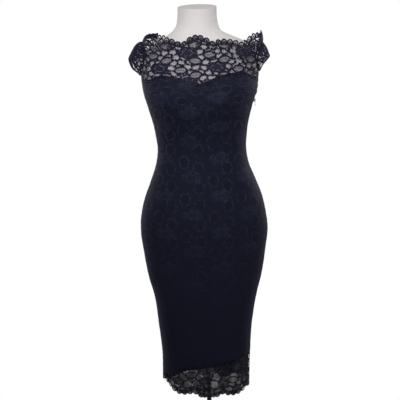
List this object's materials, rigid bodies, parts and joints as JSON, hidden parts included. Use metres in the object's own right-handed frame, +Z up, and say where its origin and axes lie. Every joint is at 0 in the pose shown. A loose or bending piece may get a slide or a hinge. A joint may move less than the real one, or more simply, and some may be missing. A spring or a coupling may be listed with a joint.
{
  "type": "cocktail dress on a dress form",
  "caption": "Fitted knee-length corded-lace cocktail dress with cap sleeves, sheer yoke and hem band over a sweetheart lining, on a limbless dress form with a round stand.",
  "frame": {"origin": "on the floor, under the middle of the whole", "axes": "+Z up, -Y out of the front of the dress, +X towards the wearer's left, which is the side with the zip"},
  "size_m": [0.3835, 0.3, 1.4345],
  "materials": {
    "lace": "near-black navy corded guipure lace, matt with a soft sheen on its cords",
    "lining": "near-black navy jersey, fine knit, matt",
    "zip_coil": "dark nylon coil zip on woven tape",
    "zip_metal": "polished silver-coloured zip slider and tab",
    "form_cover": "pale grey close-fitting jersey over a rigid torso",
    "stand": "black lacquered steel, satin"
  },
  "bodies": {
    "root": {"lace_front": "lace", "lace_back": "lace", "sleeve_left": "lace", "sleeve_right": "lace", "lining_front": "lining", "lining_back": "lining", "zip_chain": "zip_coil", "zip_slider": "zip_metal", "form_torso": "form_cover", "stand_pole": "stand", "stand_base": "stand"},
    "pull_tab": {"zip_pull": "zip_metal"}
  },
  "joints": [
    {"name": "pull_swing", "type": "hinge", "parent": "root", "child": "pull_tab", "pos_m": [0.15011, 0.00003, 1.17187], "axis": [0, -1, 0], "range_deg": [-20, 160]}
  ]
}
